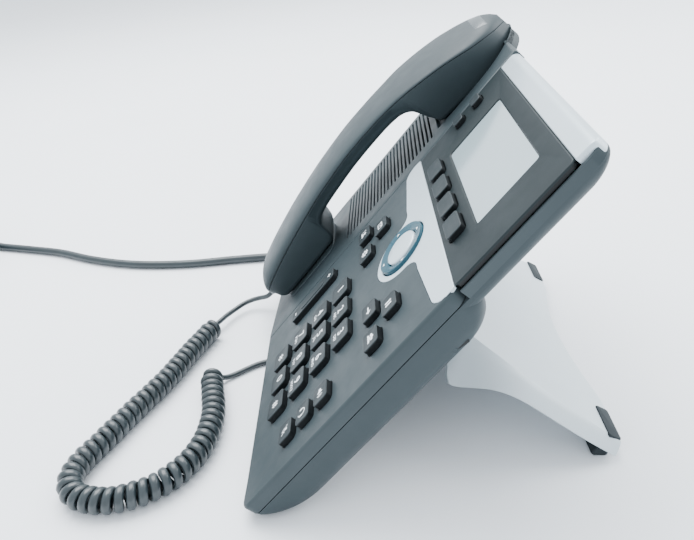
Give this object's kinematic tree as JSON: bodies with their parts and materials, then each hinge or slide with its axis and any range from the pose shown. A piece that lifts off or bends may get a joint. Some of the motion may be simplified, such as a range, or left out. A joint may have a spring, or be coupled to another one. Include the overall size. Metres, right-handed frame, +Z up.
{
  "type": "desk ip phone",
  "caption": "Corded desk phone leaning on a clip-on foot stand, with a keypad, a display, a navigation ring, a lift-off handset, a curly cord and a network cord.",
  "frame": {"origin": "on the table, under the middle of the phone's box without its free cords", "axes": "+X to the phone's right, -Y to its front, +Z up; the face leans back 47 degrees from the table"},
  "size_m": [0.3214, 0.4798, 0.1654],
  "materials": {
    "shell_plastic": "fine-textured matte, blue-grey",
    "bezel_plastic": "fine matte grey",
    "window_plastic": "clear, glossy",
    "lcd": "satin pale grey",
    "silver_plastic": "satin silver paint",
    "stand_plastic": "light silver, fine texture",
    "circuit_board": "solder mask",
    "silicone": "matte",
    "speaker_parts": "satin",
    "jack_plastic": "fine matte black",
    "foot_rubber": "matte",
    "screw_steel": "zinc plated",
    "lamp_lens": "translucent, glossy",
    "plug_plastic": "clear moulded",
    "ring_plastic": "satin teal-grey",
    "key_plastic": "fine matte with white legends",
    "handset_cord_jacket": "satin coiled jacket",
    "network_cord_jacket": "satin jacket"
  },
  "bodies": {
    "base": {"front_cover": "shell_plastic", "rear_cover": "shell_plastic", "display_bezel": "bezel_plastic", "display_window": "window_plastic", "lcd_panel": "lcd", "top_trim": "silver_plastic", "wing_trim": "silver_plastic", "main_board": "circuit_board", "key_membrane": "silicone", "loudspeaker": "speaker_parts", "jack_block": "jack_plastic", "foot_stand": "stand_plastic", "rubber_feet": "foot_rubber", "cover_screws": "screw_steel", "handset_cord_coil": "handset_cord_jacket", "base_lead": "handset_cord_jacket", "base_cord_plug": "plug_plastic", "network_cord": "network_cord_jacket", "network_coil": "network_cord_jacket", "network_plug_base": "plug_plastic", "network_plug_free": "plug_plastic"},
    "handset": {"handset_back_shell": "shell_plastic", "handset_front_shell": "shell_plastic", "message_lamp_lens": "lamp_lens", "receiver_capsule": "speaker_parts", "microphone_capsule": "speaker_parts", "handset_cord_plug": "plug_plastic", "handset_lead": "handset_cord_jacket"},
    "hook": {"hook_plunger": "shell_plastic"},
    "ring": {"nav_ring": "ring_plastic"},
    "select": {"select_key": "silver_plastic"},
    "volume": {"volume_rocker": "key_plastic"},
    "key_1": {"key_1": "key_plastic"},
    "key_2": {"key_2": "key_plastic"},
    "key_3": {"key_3": "key_plastic"},
    "key_4": {"key_4": "key_plastic"},
    "key_5": {"key_5": "key_plastic"},
    "key_6": {"key_6": "key_plastic"},
    "key_7": {"key_7": "key_plastic"},
    "key_8": {"key_8": "key_plastic"},
    "key_9": {"key_9": "key_plastic"},
    "key_star": {"key_star": "key_plastic"},
    "key_0": {"key_0": "key_plastic"},
    "key_hash": {"key_hash": "key_plastic"},
    "soft_key_1": {"soft_key_1": "key_plastic"},
    "soft_key_2": {"soft_key_2": "key_plastic"},
    "soft_key_3": {"soft_key_3": "key_plastic"},
    "soft_key_4": {"soft_key_4": "key_plastic"},
    "line_key_1": {"line_key_1": "key_plastic"},
    "line_key_2": {"line_key_2": "key_plastic"},
    "hold_key": {"hold_key": "key_plastic"},
    "transfer_key": {"transfer_key": "key_plastic"},
    "conference_key": {"conference_key": "key_plastic"},
    "voicemail_key": {"voicemail_key": "key_plastic"},
    "contacts_key": {"contacts_key": "key_plastic"},
    "settings_key": {"settings_key": "key_plastic"},
    "speaker_key": {"speaker_key": "key_plastic"},
    "headset_key": {"headset_key": "key_plastic"},
    "mute_key": {"mute_key": "key_plastic"}
  },
  "joints": [
    {"name": "handset_lift", "type": "slide", "parent": "base", "child": "handset", "axis": [0, -0.7314, 0.682], "range_m": [0, 0.08]},
    {"name": "hook_travel", "type": "slide", "parent": "base", "child": "hook", "axis": [0, -0.7314, 0.682], "range_m": [0, 0.003]},
    {"name": "ring_rock", "type": "hinge", "parent": "base", "child": "ring", "pos_m": [0.038, -0.00159, 0.08854], "axis": [1, 0, 0], "range_deg": [-2.5, 2.5], "stiffness_Nm_per_rad": 0.6},
    {"name": "select_press", "type": "slide", "parent": "base", "child": "select", "axis": [0, 0.7314, -0.682], "range_m": [0, 0.001], "stiffness_N_per_m": 400},
    {"name": "volume_rock", "type": "hinge", "parent": "base", "child": "volume", "pos_m": [-0.0084, -0.04584, 0.03874], "axis": [1, 0, 0], "range_deg": [-3, 3], "stiffness_Nm_per_rad": 0.8},
    {"name": "key_1_press", "type": "slide", "parent": "base", "child": "key_1", "axis": [0, 0.7314, -0.682], "range_m": [0, 0.0012], "stiffness_N_per_m": 350},
    {"name": "key_2_press", "type": "slide", "parent": "base", "child": "key_2", "axis": [0, 0.7314, -0.682], "range_m": [0, 0.0012], "stiffness_N_per_m": 350},
    {"name": "key_3_press", "type": "slide", "parent": "base", "child": "key_3", "axis": [0, 0.7314, -0.682], "range_m": [0, 0.0012], "stiffness_N_per_m": 350},
    {"name": "key_4_press", "type": "slide", "parent": "base", "child": "key_4", "axis": [0, 0.7314, -0.682], "range_m": [0, 0.0012], "stiffness_N_per_m": 350},
    {"name": "key_5_press", "type": "slide", "parent": "base", "child": "key_5", "axis": [0, 0.7314, -0.682], "range_m": [0, 0.0012], "stiffness_N_per_m": 350},
    {"name": "key_6_press", "type": "slide", "parent": "base", "child": "key_6", "axis": [0, 0.7314, -0.682], "range_m": [0, 0.0012], "stiffness_N_per_m": 350},
    {"name": "key_7_press", "type": "slide", "parent": "base", "child": "key_7", "axis": [0, 0.7314, -0.682], "range_m": [0, 0.0012], "stiffness_N_per_m": 350},
    {"name": "key_8_press", "type": "slide", "parent": "base", "child": "key_8", "axis": [0, 0.7314, -0.682], "range_m": [0, 0.0012], "stiffness_N_per_m": 350},
    {"name": "key_9_press", "type": "slide", "parent": "base", "child": "key_9", "axis": [0, 0.7314, -0.682], "range_m": [0, 0.0012], "stiffness_N_per_m": 350},
    {"name": "key_star_press", "type": "slide", "parent": "base", "child": "key_star", "axis": [0, 0.7314, -0.682], "range_m": [0, 0.0012], "stiffness_N_per_m": 350},
    {"name": "key_0_press", "type": "slide", "parent": "base", "child": "key_0", "axis": [0, 0.7314, -0.682], "range_m": [0, 0.0012], "stiffness_N_per_m": 350},
    {"name": "key_hash_press", "type": "slide", "parent": "base", "child": "key_hash", "axis": [0, 0.7314, -0.682], "range_m": [0, 0.0012], "stiffness_N_per_m": 350},
    {"name": "soft_key_1_press", "type": "slide", "parent": "base", "child": "soft_key_1", "axis": [0, 0.7314, -0.682], "range_m": [0, 0.0012], "stiffness_N_per_m": 350},
    {"name": "soft_key_2_press", "type": "slide", "parent": "base", "child": "soft_key_2", "axis": [0, 0.7314, -0.682], "range_m": [0, 0.0012], "stiffness_N_per_m": 350},
    {"name": "soft_key_3_press", "type": "slide", "parent": "base", "child": "soft_key_3", "axis": [0, 0.7314, -0.682], "range_m": [0, 0.0012], "stiffness_N_per_m": 350},
    {"name": "soft_key_4_press", "type": "slide", "parent": "base", "child": "soft_key_4", "axis": [0, 0.7314, -0.682], "range_m": [0, 0.0012], "stiffness_N_per_m": 350},
    {"name": "line_key_1_press", "type": "slide", "parent": "base", "child": "line_key_1", "axis": [0, 0.7314, -0.682], "range_m": [0, 0.0012], "stiffness_N_per_m": 350},
    {"name": "line_key_2_press", "type": "slide", "parent": "base", "child": "line_key_2", "axis": [0, 0.7314, -0.682], "range_m": [0, 0.0012], "stiffness_N_per_m": 350},
    {"name": "hold_key_press", "type": "slide", "parent": "base", "child": "hold_key", "axis": [0, 0.7314, -0.682], "range_m": [0, 0.0012], "stiffness_N_per_m": 350},
    {"name": "transfer_key_press", "type": "slide", "parent": "base", "child": "transfer_key", "axis": [0, 0.7314, -0.682], "range_m": [0, 0.0012], "stiffness_N_per_m": 350},
    {"name": "conference_key_press", "type": "slide", "parent": "base", "child": "conference_key", "axis": [0, 0.7314, -0.682], "range_m": [0, 0.0012], "stiffness_N_per_m": 350},
    {"name": "voicemail_key_press", "type": "slide", "parent": "base", "child": "voicemail_key", "axis": [0, 0.7314, -0.682], "range_m": [0, 0.0012], "stiffness_N_per_m": 350},
    {"name": "contacts_key_press", "type": "slide", "parent": "base", "child": "contacts_key", "axis": [0, 0.7314, -0.682], "range_m": [0, 0.0012], "stiffness_N_per_m": 350},
    {"name": "settings_key_press", "type": "slide", "parent": "base", "child": "settings_key", "axis": [0, 0.7314, -0.682], "range_m": [0, 0.0012], "stiffness_N_per_m": 350},
    {"name": "speaker_key_press", "type": "slide", "parent": "base", "child": "speaker_key", "axis": [0, 0.7314, -0.682], "range_m": [0, 0.0012], "stiffness_N_per_m": 350},
    {"name": "headset_key_press", "type": "slide", "parent": "base", "child": "headset_key", "axis": [0, 0.7314, -0.682], "range_m": [0, 0.0012], "stiffness_N_per_m": 350},
    {"name": "mute_key_press", "type": "slide", "parent": "base", "child": "mute_key", "axis": [0, 0.7314, -0.682], "range_m": [0, 0.0012], "stiffness_N_per_m": 350}
  ],
  "couplings": [
    {"joint": "hook_travel", "follows": "handset_lift", "ratio": 0.0375}
  ]
}
